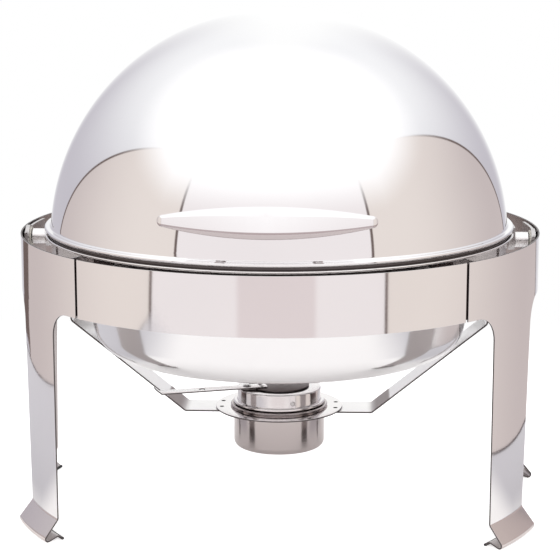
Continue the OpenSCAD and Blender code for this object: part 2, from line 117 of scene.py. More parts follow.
def smooth(mesh, sharp=32):
    """Smooth shading, with edges sharper than this angle kept crisp."""
    bm = bmesh.new()
    bm.from_mesh(mesh)
    bmesh.ops.remove_doubles(bm, verts=bm.verts, dist=1e-7)
    bmesh.ops.recalc_face_normals(bm, faces=bm.faces)
    for e in bm.edges:
        e.smooth = len(e.link_faces) == 2 and e.calc_face_angle(0) < radians(sharp)
    for f in bm.faces:
        f.smooth = True
    bm.to_mesh(mesh)
    bm.free()


def piece(name, verts, faces, sharp=32, shades=None):
    """A mesh object. shades holds each face's material number, where it has more than one material."""
    mesh = bpy.data.meshes.new(name)
    mesh.from_pydata([tuple(v) for v in verts], [], faces)
    if shades:
        mesh.polygons.foreach_set("material_index", shades)
    smooth(mesh, sharp)
    obj = bpy.data.objects.new(name, mesh)
    bpy.context.scene.collection.objects.link(obj)
    return obj


def lathe(name, outline, centre, a0=0, a1=360, steps=192, sharp=32, second=()):
    """A closed outline of (radius, height) points turned about a vertical axis, angles from the front.

    The stretches of the outline that start at the points listed in second take the second material.
    """
    full = abs(a1 - a0) >= 359.9
    rings = steps if full else steps + 1
    verts = []
    for i in range(rings):
        a = radians(a0 + (a1 - a0) * i / steps)
        verts += [(centre[0] + r * sin(a), centre[1] - r * cos(a), z) for r, z in outline]
    n = len(outline)
    faces = [[i * n + k, i * n + (k + 1) % n, (i + 1) % rings * n + (k + 1) % n, (i + 1) % rings * n + k]
             for i in range(rings if full else rings - 1) for k in range(n)]
    shades = [int(f % n in second) for f in range(len(faces))]
    if not full:
        faces += [list(range(n)), [steps * n + k for k in range(n)][::-1]]
        shades += [0, 0]
    return piece(name, verts, faces, sharp, shades)


def spin_x(name, outline, y, z, side=1, steps=96):
    """A closed outline of (x, radius) points turned about a line along X, mirrored when side is -1."""
    n = len(outline)
    verts = [(side * x, y + r * cos(2 * pi * i / steps), z + r * sin(2 * pi * i / steps))
             for i in range(steps) for x, r in outline]
    faces = [[i * n + k, i * n + (k + 1) % n, (i + 1) % steps * n + (k + 1) % n, (i + 1) % steps * n + k]
             for i in range(steps) for k in range(n)]
    return piece(name, verts, faces)


def slab(name, outline, t, place, edge=0.2 * MM, holes=()):
    """A flat outline given thickness t along its own Z, with softened edges, then put in place.

    Its cut edges take the second material.
    """
    bm = bmesh.new()
    loops = []
    for ring in [outline, *holes]:
        vs = [bm.verts.new((x, y, 0)) for x, y in ring]
        loops += [bm.edges.new((vs[i], vs[(i + 1) % len(vs)])) for i in range(len(vs))]
    bmesh.ops.triangle_fill(bm, edges=loops, use_beauty=True, use_dissolve=True)
    flat = list(bm.faces)
    up = bmesh.ops.extrude_face_region(bm, geom=flat)
    bmesh.ops.translate(bm, verts=[g for g in up["geom"] if isinstance(g, bmesh.types.BMVert)], vec=(0, 0, t))
    bmesh.ops.recalc_face_normals(bm, faces=bm.faces)
    rim = [e for e in bm.edges if len(e.link_faces) == 2 and e.calc_face_angle(0) > radians(60)]
    bmesh.ops.bevel(bm, geom=rim, offset=edge, segments=2, profile=0.5, affect="EDGES")
    for f in bm.faces:
        f.material_index = int(abs(f.normal.z) < 0.5)
    bm.transform(place)
    mesh = bpy.data.meshes.new(name)
    bm.to_mesh(mesh)
    bm.free()
    smooth(mesh)
    obj = bpy.data.objects.new(name, mesh)
    bpy.context.scene.collection.objects.link(obj)
    return obj


def bent_sheet(name, rows, t, faces_of, edge=0.3 * MM, shaded_rows=0):
    """A grid of points, one list per row and None where a row has no point, made into a sheet of thickness t.

    faces_of lists its materials: the outside, the inside and the cut edges. The first shaded_rows rows take
    the next three instead, darker copies that paint shade there.
    """
    index, verts, faces, shades = {}, [], [], []
    for i, row in enumerate(rows):
        for k, p in enumerate(row):
            if p is not None:
                index[i, k] = len(verts)
                verts.append(p)
    for i in range(len(rows) - 1):
        for k in range(len(rows[i]) - 1):
            quad = [(i, k), (i, k + 1), (i + 1, k + 1), (i + 1, k)]
            if all(q in index for q in quad):
                faces.append([index[q] for q in quad])
                shades.append(3 if i < shaded_rows else 0)
    obj = piece(name, verts, faces, 180, shades)
    for material in faces_of:
        obj.data.materials.append(material)
    solid = obj.modifiers.new("sheet", "SOLIDIFY")
    solid.thickness, solid.offset, solid.use_even_offset = t, 0, True
    solid.material_offset, solid.material_offset_rim = 1, 2
    bevel = obj.modifiers.new("edge", "BEVEL")
    bevel.width, bevel.segments, bevel.limit_method = edge, 2, "ANGLE"
    bevel.angle_limit, bevel.harden_normals = radians(50), True
    applied(obj)
    return obj


def applied(obj):
    """Turns the object's modifiers into its mesh."""
    graph = bpy.context.evaluated_depsgraph_get()
    mesh = bpy.data.meshes.new_from_object(obj.evaluated_get(graph))
    obj.modifiers.clear()
    obj.data = mesh


def joined(name, objects, materials):
    """Several meshes as one piece, whose faces keep their material numbers."""
    for obj in objects:
        for material in materials:
            obj.data.materials.append(material)
    with bpy.context.temp_override(active_object=objects[0], selected_editable_objects=objects):
        bpy.ops.object.join()
    objects[0].name = name
    return objects[0]


def add(obj, body, slot, node, look=None, second=None):
    """Gives a finished piece its materials and its body, and hides the CAD node that it stands for.

    Its look is its slot's material unless another is given, and second goes to the faces set apart.
    """
    if not obj.data.materials:
        obj.data.materials.append(look or SLOTS[slot])
        if second:
            obj.data.materials.append(second)
    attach(obj, body)
    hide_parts(node)


# ---------------------------------------------------------------- materials

def link(tree, a, b):
    tree.links.new(a, b)


class Num:
    """A number in a node tree that can be added, multiplied and so on."""

    def __init__(self, tree, socket):
        self.tree, self.socket = tree, socket

    def op(self, kind, *others):
        node = self.tree.nodes.new("ShaderNodeMath")
        node.operation = kind
        link(self.tree, self.socket, node.inputs[0])
        for i, o in enumerate(others, 1):
            if isinstance(o, Num):
                link(self.tree, o.socket, node.inputs[i])
            else:
                node.inputs[i].default_value = o
        return Num(self.tree, node.outputs[0])

    def __add__(self, o):
        return self.op("ADD", o)

    def __sub__(self, o):
        return self.op("SUBTRACT", o)

    def __mul__(self, o):
        return self.op("MULTIPLY", o)

    def step(self, low, high):
        """0 below low and 1 above high, smooth in between, or the reverse where low is the greater."""
        node = self.tree.nodes.new("ShaderNodeMapRange")
        node.interpolation_type = "SMOOTHSTEP"
        link(self.tree, self.socket, node.inputs["Value"])
        if low < high:
            node.inputs["From Min"].default_value, node.inputs["From Max"].default_value = low, high
        else:
            node.inputs["From Min"].default_value, node.inputs["From Max"].default_value = high, low
            node.inputs["To Min"].default_value, node.inputs["To Max"].default_value = 1, 0
        return Num(self.tree, node.outputs["Result"])


def mixed(tree, base, colour, share):
    """A blend of two colours, each a tuple or another node's output."""
    node = tree.nodes.new("ShaderNodeMix")
    node.data_type = "RGBA"
    link(tree, share.socket, node.inputs["Factor"])
    for value, socket in ((base, node.inputs["A"]), (colour, node.inputs["B"])):
        if isinstance(value, tuple):
            socket.default_value = (*value, 1)
        else:
            link(tree, value, socket)
    return node.outputs["Result"]


def steel(name, tint, rough, wave=0.0, brush=(60, 60, 60), brush_depth=0.0, uneven=0.02):
    """Stainless steel: slightly uneven polish, long soft waves in the sheet, and fine polishing lines.

    brush is how fine the lines are along each axis, and wave and brush_depth are how strong the relief is.
    """
    cloud_scale, smut, sharpest_polish = 9.0, 0.975, 0.01
    mat = bpy.data.materials.new(name)
    mat.use_nodes = True
    tree = mat.node_tree
    bsdf = tree.nodes["Principled BSDF"]
    bsdf.inputs["Metallic"].default_value = 1.0
    coords = tree.nodes.new("ShaderNodeTexCoord")
    cloud = tree.nodes.new("ShaderNodeTexNoise")
    cloud.inputs["Scale"].default_value = cloud_scale
    cloud.inputs["Detail"].default_value = 4.0
    link(tree, coords.outputs["Object"], cloud.inputs["Vector"])
    colour = tree.nodes.new("ShaderNodeValToRGB")
    colour.color_ramp.elements[0].position = 0.3
    colour.color_ramp.elements[1].position = 0.7
    colour.color_ramp.elements[0].color = (*[c * smut for c in tint], 1)
    colour.color_ramp.elements[1].color = (*tint, 1)
    link(tree, cloud.outputs["Fac"], colour.inputs["Fac"])
    link(tree, colour.outputs["Color"], bsdf.inputs["Base Color"])
    smear = tree.nodes.new("ShaderNodeMapRange")
    smear.inputs["To Min"].default_value = max(rough - uneven, sharpest_polish)
    smear.inputs["To Max"].default_value = rough + uneven
    grain = tree.nodes.new("ShaderNodeTexNoise")
    grain.inputs["Scale"].default_value = 1.0
    grain.inputs["Detail"].default_value = 6.0
    stretch = tree.nodes.new("ShaderNodeMapping")
    stretch.inputs["Scale"].default_value = brush
    link(tree, coords.outputs["Object"], stretch.inputs["Vector"])
    link(tree, stretch.outputs["Vector"], grain.inputs["Vector"])
    link(tree, grain.outputs["Fac"], smear.inputs["Value"])
    link(tree, smear.outputs["Result"], bsdf.inputs["Roughness"])
    last = None
    for source, depth, distance in ((cloud, wave, 1 * MM), (grain, brush_depth, 0.05 * MM)):
        if depth <= 0:
            continue
        bump = tree.nodes.new("ShaderNodeBump")
        bump.inputs["Strength"].default_value = depth
        bump.inputs["Distance"].default_value = distance
        link(tree, source.outputs["Fac"], bump.inputs["Height"])
        if last:
            link(tree, last.outputs["Normal"], bump.inputs["Normal"])
        last = bump
    if last:
        link(tree, last.outputs["Normal"], bsdf.inputs["Normal"])
    return mat


def darkened_band(mat, tint, start, end):
    """Darkens a steel between these distances to the left and right of the burner, fully from halfway on."""
    tree = mat.node_tree
    base = tree.nodes["Principled BSDF"].inputs["Base Color"]
    split = tree.nodes.new("ShaderNodeSeparateXYZ")
    link(tree, tree.nodes.new("ShaderNodeTexCoord").outputs["Object"], split.inputs[0])
    away = Num(tree, split.outputs[0]).op("ABSOLUTE")
    share = away.step(start, (start + end) / 2) * away.step(end + 1 * MM, end - 1 * MM)
    link(tree, mixed(tree, base.links[0].from_socket, tint, share), base)


def plain(name, colour, rough):
    """Rubber or plastic with a fine moulded texture."""
    speckle, depth, shade, uneven = 300.0, 0.1, 0.8, 0.08
    mat = bpy.data.materials.new(name)
    mat.use_nodes = True
    tree = mat.node_tree
    bsdf = tree.nodes["Principled BSDF"]
    coords = tree.nodes.new("ShaderNodeTexCoord")
    noise = tree.nodes.new("ShaderNodeTexNoise")
    noise.inputs["Scale"].default_value = speckle
    link(tree, coords.outputs["Object"], noise.inputs["Vector"])
    ramp = tree.nodes.new("ShaderNodeValToRGB")
    ramp.color_ramp.elements[0].color = (*[c * shade for c in colour], 1)
    ramp.color_ramp.elements[1].color = (*colour, 1)
    link(tree, noise.outputs["Fac"], ramp.inputs["Fac"])
    link(tree, ramp.outputs["Color"], bsdf.inputs["Base Color"])
    smear = tree.nodes.new("ShaderNodeMapRange")
    smear.inputs["To Min"].default_value = rough - uneven
    smear.inputs["To Max"].default_value = rough + uneven
    link(tree, noise.outputs["Fac"], smear.inputs["Value"])
    link(tree, smear.outputs["Result"], bsdf.inputs["Roughness"])
    bump = tree.nodes.new("ShaderNodeBump")
    bump.inputs["Strength"].default_value = depth
    bump.inputs["Distance"].default_value = 0.1 * MM
    link(tree, noise.outputs["Fac"], bump.inputs["Height"])
    link(tree, bump.outputs["Normal"], bsdf.inputs["Normal"])
    return mat


SLOTS = {
    "lid_steel": steel("lid_steel", (0.93, 0.92, 0.93), 0.035, wave=0.03, uneven=0.01),
    "stand_steel": steel("stand_steel", (0.91, 0.89, 0.895), 0.06, 0.05, (8, 8, 900), 0.06),
    "ring_steel": steel("ring_steel", (0.88, 0.86, 0.855), 0.07, 0, (20, 20, 900), 0.05),
    "pan_steel": steel("pan_steel", (0.90, 0.89, 0.90), 0.13, 0.04, (30, 30, 500), 0.08, 0.03),
    "burner_steel": steel("burner_steel", (0.84, 0.81, 0.81), 0.12, 0, (30, 30, 700), 0.1, 0.03),
    "inner_steel": steel("inner_steel", (0.62, 0.60, 0.60), 0.3, 0, (200, 200, 200), 0.15, 0.06),
    "dark_steel": steel("dark_steel", (0.10, 0.075, 0.075), 0.35, 0, (150, 150, 150), 0.1, 0.08),
    "bush_plastic": plain("bush_plastic", (0.78, 0.75, 0.68), 0.5),
    "black_rubber": plain("black_rubber", (0.02, 0.02, 0.022), 0.6),
}

# near-black steel that paints shade on cut edges, the lid's skirt, the burner disc's rim and the damper's sides
cut_edge = steel("cut_edge", (0.13, 0.115, 0.115), 0.4, uneven=0.08)
# a darker steel for the inside faces of the band, legs and feet: painted shade
dull_inside = steel("dull_inside", (0.50, 0.46, 0.455), 0.22, brush_depth=0.1, uneven=0.05)
# a darker steel for the handle's underside and back: painted shade
handle_under = steel("handle_under", (0.54, 0.48, 0.485), 0.08)
hub_steel = steel("hub_steel", (0.96, 0.94, 0.94), 0.38, 0, (900, 30, 30), 0.05, 0.04)
# a darker, browner copy of the stand steel for the feet, which are the same sheet as the legs: painted shade
foot_steel = steel("foot_steel", (0.74, 0.68, 0.67), 0.16, brush_depth=0.1, uneven=0.05)
# a darker, browner copy of the burner steel for the fuel cup: painted shade under the plate
cup_steel = steel("cup_steel", (0.52, 0.465, 0.46), 0.14, 0, (30, 30, 700), 0.1, 0.03)
arm_steel = steel("arm_steel", (0.96, 0.945, 0.945), 0.30, 0, (30, 30, 700), 0.1, 0.03)
# darkens each arm in a band from 80 to 101 mm out from the burner's middle
darkened_band(arm_steel, (0.22, 0.17, 0.165), 80 * MM, 101 * MM)

# the outside, the inside and the cut edges of each kind of sheet; the darker steels on the insides, the cut edges
# and the feet paint shade
STAND_FACES = (SLOTS["stand_steel"], dull_inside, cut_edge)
FOOT_FACES = (foot_steel, dull_inside, cut_edge)
ARM_FACES = (arm_steel, arm_steel, cut_edge)

# every CAD node that stays in view takes its slot's material
for part in frame["record"]["subparts"]:
    data = frame["nodes"][part["node"]].data
    data.materials.clear()
    data.materials.append(SLOTS[part["material_slot"]])


# ---------------------------------------------------------------- lid

def lid():
    """The dome, the rolled bead around it, and the skirt under the bead, with shade painted on the skirt in
    near-black steel.
    """
    lo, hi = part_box("lid_dome")
    r, out, edge = hi.z - PIVOT_Z, hi.x, lo.z
    skirt_h, bead_h, fillet = 2.8 * MM, 3.5 * MM, 1.6 * MM
    proud, step, soft = 0.4 * MM, 0.05 * MM, 0.2 * MM
    tube = bead_h / 2
    bead_low = edge + skirt_h
    bead_top = bead_low + bead_h

    def shell(radius, bottom, n):
        """The dome's curve from its top, on the axis, down to this height."""
        points = arc(0, PIVOT_Z, radius, 90, degrees(asin((bottom - PIVOT_Z) / radius)), n)
        return [(0.0, points[0][1])] + points[1:]

    outer = shell(r, bead_top + fillet, 110)
    flare = arc(outer[-1][0] + fillet, bead_top + fillet, fillet, 180, 270, 6)[1:]
    bead = arc(out - tube, bead_low + tube, tube, 90, -90, 14)
    skirt = [(r + proud, bead_low), (r + step, bead_low - proud), (r, edge + soft), (r - soft, edge),
             (r - THIN + soft, edge), (r - THIN, edge + soft)]
    inner = shell(r - THIN, edge + 2 * soft, 80)[::-1]
    start = len(outer + flare + bead) - 1
    # the skirt's faces under the bead take the near-black steel: painted shade
    under = range(start, start + len(skirt) + 1)
    dome = lathe("dome_shell", outer + flare + bead + skirt + inner, DOME, steps=288, second=under)
    add(dome, "lid", "lid_steel", "lid_dome", second=cut_edge)


def handle():
    """A bowed bar along X: a full front that leans back above a soft crease, and small rounded ends.

    Its underside and its back are set apart, for a darker steel that paints the shade under the bar.
    """
    lo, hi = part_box("lid_handle")
    half, front = hi.x, lo.y
    mid_z, height = (lo.z + hi.z) / 2, hi.z - lo.z
    tip, front_bow, back_bow, deep = 4.4 * MM, 300 * MM, 420 * MM, 12 * MM
    slope_deep, top_deep, under_deep = 4.5 * MM, 7.0 * MM, 1.5 * MM
    chin, crease_mid, crease_rise = 0.6, 0.42, 0.2
    chin_round, under_round, soft = 0.55, 0.3, 0.25
    reach, rise = half - tip, height / 2 - tip
    lens_r = (reach ** 2 + rise ** 2) / (2 * rise)
    spans, nearly = 120, 0.9998
    verts = []
    for i in range(spans + 1):
        x = nearly * half * sin(pi / 2 * (2 * i / spans - 1))
        end = max(abs(x) - reach, 0) / tip
        if end:
            h = tip * sqrt(1 - end ** 2)
        else:
            h = height / 2 - lens_r + sqrt(lens_r ** 2 - x ** 2)
        y_front = front + front_bow - sqrt(front_bow ** 2 - x ** 2)
        y_back = front + deep + back_bow - sqrt(back_bow ** 2 - x ** 2)
        mid_y, half_y = (y_front + y_back) / 2, (y_back - y_front) / 2 * (h / tip if end else 1)
        crease = h * (crease_mid + crease_rise * (abs(x) / half))
        tall = h / (height / 2)
        slope, top, under = slope_deep * tall, top_deep * tall, under_deep * tall
        small = min(h, half_y)
        corners = [(-half_y, -chin * h, chin_round), (under - half_y, -h, under_round), (half_y, -h, soft),
                   (half_y, h, soft), (top - half_y, h, soft), (slope - half_y, crease, soft)]
        section = rounded([(y, z, share * small) for y, z, share in corners], 0, n=8)
        verts += [(x, mid_y + a, mid_z + b) for a, b in section]
    n = len(section)
    faces = [[i * n + k, i * n + (k + 1) % n, (i + 1) * n + (k + 1) % n, (i + 1) * n + k]
             for i in range(spans) for k in range(n)]
    # the underside and the back take the second, darker steel: painted shade under the bar
    shades = [int(f % n < n // 2) for f in range(len(faces))] + [0, 0]
    faces += [list(range(n)), list(range(spans * n, (spans + 1) * n))]
    add(piece("handle_bar", verts, faces, 60, shades), "lid", "lid_steel", "lid_handle", second=handle_under)


def hinges():
    """The hub on each side of the lid, and the pin inside it."""
    hub_lo, hub_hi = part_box("pivot_hubs")
    pin_lo, pin_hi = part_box("pivot_pins")
    hub_r, pin_r = (hub_hi.z - hub_lo.z) / 2, (pin_hi.z - pin_lo.z) / 2
    hub_edge, pin_edge = 0.7 * MM, 0.6 * MM
    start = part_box("right_lid_lug")[1].x
    pin_start = start - 4 * MM
    hub = rounded([(start, pin_r), (hub_hi.x, pin_r), (hub_hi.x, hub_r), (start, hub_r)], hub_edge)
    pin = rounded([(pin_start, 0), (pin_hi.x, 0), (pin_hi.x, pin_r, pin_edge),
                   (pin_start, pin_r, pin_edge)], 0)
    for side, word in SIDES:
        add(spin_x(word + "_hub", hub, AXIS_Y, PIVOT_Z, side), "lid", "lid_steel", "pivot_hubs", hub_steel)
        add(spin_x(word + "_pin", pin, AXIS_Y, PIVOT_Z, side), "lid", "inner_steel", "pivot_pins")


# ---------------------------------------------------------------- stand

SHEET_R = BAND_R - SHEET / 2                        # middle of the band's sheet
HALF_PANEL = degrees(asin(band_hi.x / BAND_R))      # half the angle that the front panel takes up
SEAM_GAP = 2.8 * MM
BAND_ROWS = 7

# each leg's two edges at the band, then at the floor, in degrees from the front
LEGS = ((52.6, 71.6, 52.6, 68.1), (101.5, 109.5, 103.25, 107.75))
FILLET = 22 * MM


def on_stand(r, a, z):
    """A point around the stand's middle, at an angle from the front."""
    return (r * sin(radians(a)), STAND_Y - r * cos(radians(a)), z)


def band_panels():
    """The front and the rear panel of the band."""
    columns, height = 72, band_hi.z - band_lo.z
    for name, node, middle in (("front_panel", "front_band", 0), ("rear_panel", "rear_band", 180)):
        angles = [middle - HALF_PANEL + 2 * HALF_PANEL * k / columns for k in range(columns + 1)]
        grid = [[on_stand(SHEET_R, a, band_lo.z + height * i / BAND_ROWS) for a in angles]
                for i in range(BAND_ROWS + 1)]
        add(bent_sheet(name, grid, SHEET, STAND_FACES), "stand", "stand_steel", node)


def foot_path():
    """Middle of the foot's sheet as (radius, height) points, walked down the leg, out, under and back in."""
    shin, knee_r, knee, flare = 3 * MM, 4 * MM, 40, 17 * MM
    roll_r, roll, back, lip_r, lip_turn = 2.6 * MM, -150, 8 * MM, 2.5 * MM, 55
    glide_r, cut = 1.3 * MM, 0.3 * MM

    def bend(r, turn, n):
        """A bend of this radius as n short steps, each a length and a turn."""
        return [(2 * r * sin(radians(abs(turn) / n / 2)), turn / n)] * n

    def walk(start, heading, steps):
        """The points passed on the way, and the heading at the end."""
        out, (x, y), h = [start], start, heading
        for length, turn in steps:
            x += length * cos(radians(h + turn / 2))
            y += length * sin(radians(h + turn / 2))
            h += turn
            out.append((x, y))
        return out, h

    steps = [(shin, 0)] + bend(knee_r, knee, 6) + [(flare, 0)] + bend(roll_r, roll, 14)
    steps += [(back, 0)] + bend(lip_r, lip_turn, 8)
    trial, heading = walk((0, 0), -90, steps)
    top = -min(y for _, y in trial) + SHEET / 2
    lip = (trial[-1][1] + top - glide_r + cut) / -sin(radians(heading))
    return walk((SHEET_R, top), -90, steps + [(lip, 0)])[0]


def side_panels():
    """Each side of the band in one sheet with its two legs and their scroll feet."""
    path = foot_path()
    bottom, top, knee = band_lo.z, band_hi.z, path[0][1]
    seam, reach = degrees(SEAM_GAP / BAND_R), degrees(FILLET / BAND_R)
    leg_columns, fillet_rows, leg_rows, spacing = 16, 12, 10, 1.5

    marks = [HALF_PANEL + seam]
    for leg in LEGS:
        marks += [leg[0] - reach, leg[1] + reach]
    marks.append(180 - HALF_PANEL - seam)
    angles, spans = [], []
    for k in range(len(marks) - 1):
        width = marks[k + 1] - marks[k]
        n = leg_columns if k % 2 else max(2, round(width / spacing))
        spans.append((len(angles), len(angles) + n))
        angles += [marks[k] + width * i / n for i in range(n)]
    angles.append(marks[-1])

    def leg_edges(leg, z):
        """The angles of a leg's two edges at a height, wider where its fillets meet the band."""
        a0, a1, f0, f1 = leg
        share = (bottom - z) / bottom
        left, right = a0 + (f0 - a0) * share, a1 + (f1 - a1) * share
        up = z - (bottom - FILLET)
        if up > 0:
            grow = reach * (1 - sqrt(max(1 - (up / FILLET) ** 2, 0)))
            left, right = left - grow, right + grow
        return left, right

    def leg_row(side, r, z):
        """One row of points across both legs, and none between them."""
        row = [None] * len(angles)
        for (c0, c1), leg in zip(spans[1::2], LEGS):
            left, right = leg_edges(leg, max(z, 0.0))
            for k in range(c0, c1 + 1):
                row[k] = on_stand(r, side * (left + (right - left) * (k - c0) / (c1 - c0)), z)
        return row

    heights = [knee + (bottom - FILLET - knee) * i / leg_rows for i in range(leg_rows)]
    heights += [bottom - FILLET + FILLET * sin(radians(90 * i / fillet_rows)) for i in range(fillet_rows)]
    for side, word in SIDES:
        grid = [leg_row(side, r, z) for r, z in path[::-1][:-1]]
        grid += [leg_row(side, SHEET_R, z) for z in heights]
        grid += [[on_stand(SHEET_R, side * a, bottom + (top - bottom) * i / BAND_ROWS) for a in angles]
                 for i in range(BAND_ROWS + 1)]
        # the foot's rows take the darker foot steel: painted shade
        faces_of = STAND_FACES + FOOT_FACES
        panel = bent_sheet(word + "_panel_and_legs", grid, SHEET, faces_of, shaded_rows=len(path) - 3)
        add(panel, "stand", "stand_steel", word + "_side_panel")


def rings():
    """The ring that the pans hang on, and the rail that the lid closes on."""
    soft, ledge, lip, lip_edge, rail_end = 0.4 * MM, 14 * MM, 2.2 * MM, 0.8 * MM, 84.5
    lo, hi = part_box("pan_ring")
    out = hi.x
    hole = out - ledge
    section = rounded([(hole, hi.z - SHEET), (out - SHEET, hi.z - SHEET), (out - SHEET, lo.z),
                       (out, lo.z), (out, hi.z), (hole, hi.z)], soft, n=4)
    add(lathe("pan_ledge", section, DOME, steps=256), "stand", "ring_steel", "pan_ring")
    lo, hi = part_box("front_rail")
    rail_out, lip_z = AXIS_Y - lo.y, hi.z - lip
    section = rounded([(out, lo.z), (out + SHEET, lo.z), (out + SHEET, lip_z), (rail_out, lip_z, lip / 2),
                       (rail_out, hi.z, lip / 2), (out, hi.z, lip_edge)], soft, n=8)
    rail = lathe("front_rail_bead", section, DOME, -rail_end, rail_end, steps=160)
    add(rail, "stand", "ring_steel", "front_rail")


# ---------------------------------------------------------------- pans and burner

def pan(node, top_r, wall_r, corner):
    """A round pan that hangs by a rolled rim, with a wall that leans out from a rounded corner."""
    lo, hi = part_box(node)
    rim_r, rim_h = hi.x, 2 * MM
    under_fillet, mouth_fillet = 1.0 * MM, 2.0 * MM
    rim_z, bottom = hi.z - rim_h, lo.z
    lean = degrees(atan2(top_r - wall_r, rim_z - bottom - corner))

    def wall(sheet):
        """From the middle of the bottom up to the rim: the outside, or the inside one sheet further in."""
        low, r = bottom + sheet, corner - sheet
        return [(0.0, low)] + arc(wall_r - sheet - r, low + r, r, -90, -lean, 14) + [(top_r - sheet, rim_z)]

    outer, inner = wall(0), wall(THIN)
    under_rim = [outer[-2], outer[-1], (rim_r - rim_h / 2, rim_z)]
    bead = arc(rim_r - rim_h / 2, rim_z + rim_h / 2, rim_h / 2, -90, 200, 14)
    over_rim = [(rim_r - rim_h, rim_z + THIN), (inner[-1][0], rim_z + THIN), inner[-2]]
    outline = outer[:-1] + rounded(under_rim, under_fillet, closed=False)[1:-1] + bead
    outline += rounded(over_rim, mouth_fillet, closed=False)[:-1] + inner[:-1][::-1]
    add(lathe(node + "_shell", outline, DOME, steps=224), node, "pan_steel", node)


def burner():
    """The plate, the fuel cup that hangs in it by its flange, and the collar on top."""
    steps, cup_r, collar_r, vent_r, gap = 160, 41.5 * MM, 38.5 * MM, 24 * MM, 0.2 * MM
    lo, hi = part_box("burner_plate")
    plate_r, plate_top, hole, soft = hi.x, hi.z, cup_r + gap, 0.4 * MM
    outline = rounded([(hole, lo.z), (plate_r, lo.z), (plate_r, plate_top), (hole, plate_top)], soft, n=5)
    # the disc's outer edge takes the near-black steel: painted shade
    outer_edge = range(6, 13)
    disc = lathe("burner_disc", outline, DOME, steps=steps, second=outer_edge)
    add(disc, "stand", "burner_steel", "burner_plate", second=cut_edge)

    wall, low = cup_r - THIN / 2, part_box("fuel_cup")[0].z + THIN / 2
    corner, wall_top, near_axis = 5 * MM, plate_top + 0.6 * MM, 0.6 * MM
    flange_out, flange_up, flange_r = 1.3 * MM, 0.9 * MM, 1.2 * MM
    path = [(0.0, low)] + arc(wall - corner, low + corner, corner, -90, 0, 10) + [(wall, wall_top)]
    path += arc(cup_r + flange_out, plate_top + flange_up, flange_r, 180, 20, 8)
    outline = [(r if r > near_axis else 0.0, z) for r, z in thick(path, THIN)]
    # the whole cup takes the darker copy of the burner steel: painted shade under the plate
    add(lathe("fuel_cup_shell", outline, DOME, steps=steps), "stand", "burner_steel", "fuel_cup", cup_steel)

    lo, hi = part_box("burner_collar")
    low, high, inside = lo.z, hi.z, collar_r - THIN
    roll_out, roll_h = collar_r + 3.3 * MM, 3 * MM
    root, shoulder, under, vent_edge, foot = 0.5 * MM, 1.6 * MM, 0.8 * MM, 0.3 * MM, 0.2 * MM
    outline = rounded([(inside, low, foot), (roll_out, low, roll_h / 2), (roll_out, low + roll_h, roll_h / 2),
                       (collar_r, low + roll_h, root), (collar_r, high, shoulder), (vent_r, high, vent_edge),
                       (vent_r, high - THIN, vent_edge), (inside, high - THIN, under)], 0)
    add(lathe("collar_shell", outline, DOME, steps=steps), "stand", "burner_steel", "burner_collar")


def arms():
    """Two flat bars, walked from the burner plate out, up the slope and up to the tab under the ring."""
    lo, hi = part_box("right_burner_arm")
    t, across, low_bend, slope, r, tab_r = SHEET, 6, 85 * MM, 39, 4 * MM, 2.2 * MM
    x0, hang_x, z0, tab_z = lo.x, 188 * MM, lo.z + t / 2, hi.z - t / 2
    flat = low_bend - x0 - r * tan(radians(slope / 2))
    slant = (hang_x - x0 - flat - r) / cos(radians(slope))
    line = [(x0, z0)] + arc(x0 + flat, z0 + r, r, -90, slope - 90, 8)
    x, z = line[-1]
    x, z = x + slant * cos(radians(slope)), z + slant * sin(radians(slope))
    line += arc(x - r * sin(radians(slope)), z + r * cos(radians(slope)), r, slope - 90, 0, 8)
    line += arc(hang_x + tab_r, tab_z - tab_r, tab_r, 180, 90, 8) + [(hi.x, tab_z)]
    for side, word in SIDES:
        grid = [[(side * x, lo.y + (hi.y - lo.y) * k / across, z) for k in range(across + 1)]
                for x, z in line]
        bar = bent_sheet(word + "_arm", grid, t, ARM_FACES)
        add(bar, "stand", "burner_steel", word + "_burner_arm")


def damper():
    """The flat lever with its finger hole and turned-up tip, and the dark cover that it swings."""
    pivot = Vector(joints["damper_swivel"]["pos_m"])
    lo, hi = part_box("damper_cover")
    t, width, length, tail, tip = 1.2 * MM, 13 * MM, 84 * MM, 18 * MM, 7 * MM
    tail_r, tip_r, hole_r, overlap = 2 * MM, 3 * MM, 2.8 * MM, 0.2 * MM
    turn, tip_up = radians(198), radians(-40)
    flat = length - tip / 2
    along = Matrix.Translation((pivot.x, pivot.y, hi.z)) @ Matrix.Rotation(turn, 4, "Z")
    outline = rounded([(-tail, -width / 2, tail_r), (flat, -width / 2, 0), (flat, width / 2, 0),
                       (-tail, width / 2, tail_r)], 0)
    bar = slab("lever_bar", outline, t, along, holes=[arc(length / 2, 0, hole_r, 0, 345, 23)])
    lift = along @ Matrix.Translation((flat, 0, 0)) @ Matrix.Rotation(tip_up, 4, "Y")
    outline = rounded([(-overlap, -width / 2, 0), (tip, -width / 2, tip_r), (tip, width / 2, tip_r),
                       (-overlap, width / 2, 0)], 0)
    tab = slab("lever_tip", outline, t, lift)
    # the lever's cut sides take the near-black steel: painted shade
    lever = joined("lever", [bar, tab], (SLOTS["burner_steel"], cut_edge))
    add(lever, "damper", "burner_steel", "damper_lever")

    r, ear = hi.x, 6.5 * MM
    to_pivot = Vector((pivot.x, pivot.y - AXIS_Y))
    swing = degrees(asin(ear / r))
    outline = arc(0, 0, r, swing, 360 - swing, 90) + arc(to_pivot.length, 0, ear, -90, 90, 16)
    facing = Matrix.Rotation(atan2(to_pivot.y, to_pivot.x), 4, "Z")
    disc = slab("damper_disc", outline, hi.z - lo.z, Matrix.Translation((0, AXIS_Y, lo.z)) @ facing)
    # the disc's cut sides take the near-black steel: painted shade
    add(disc, "damper", "dark_steel", "damper_cover", second=cut_edge)


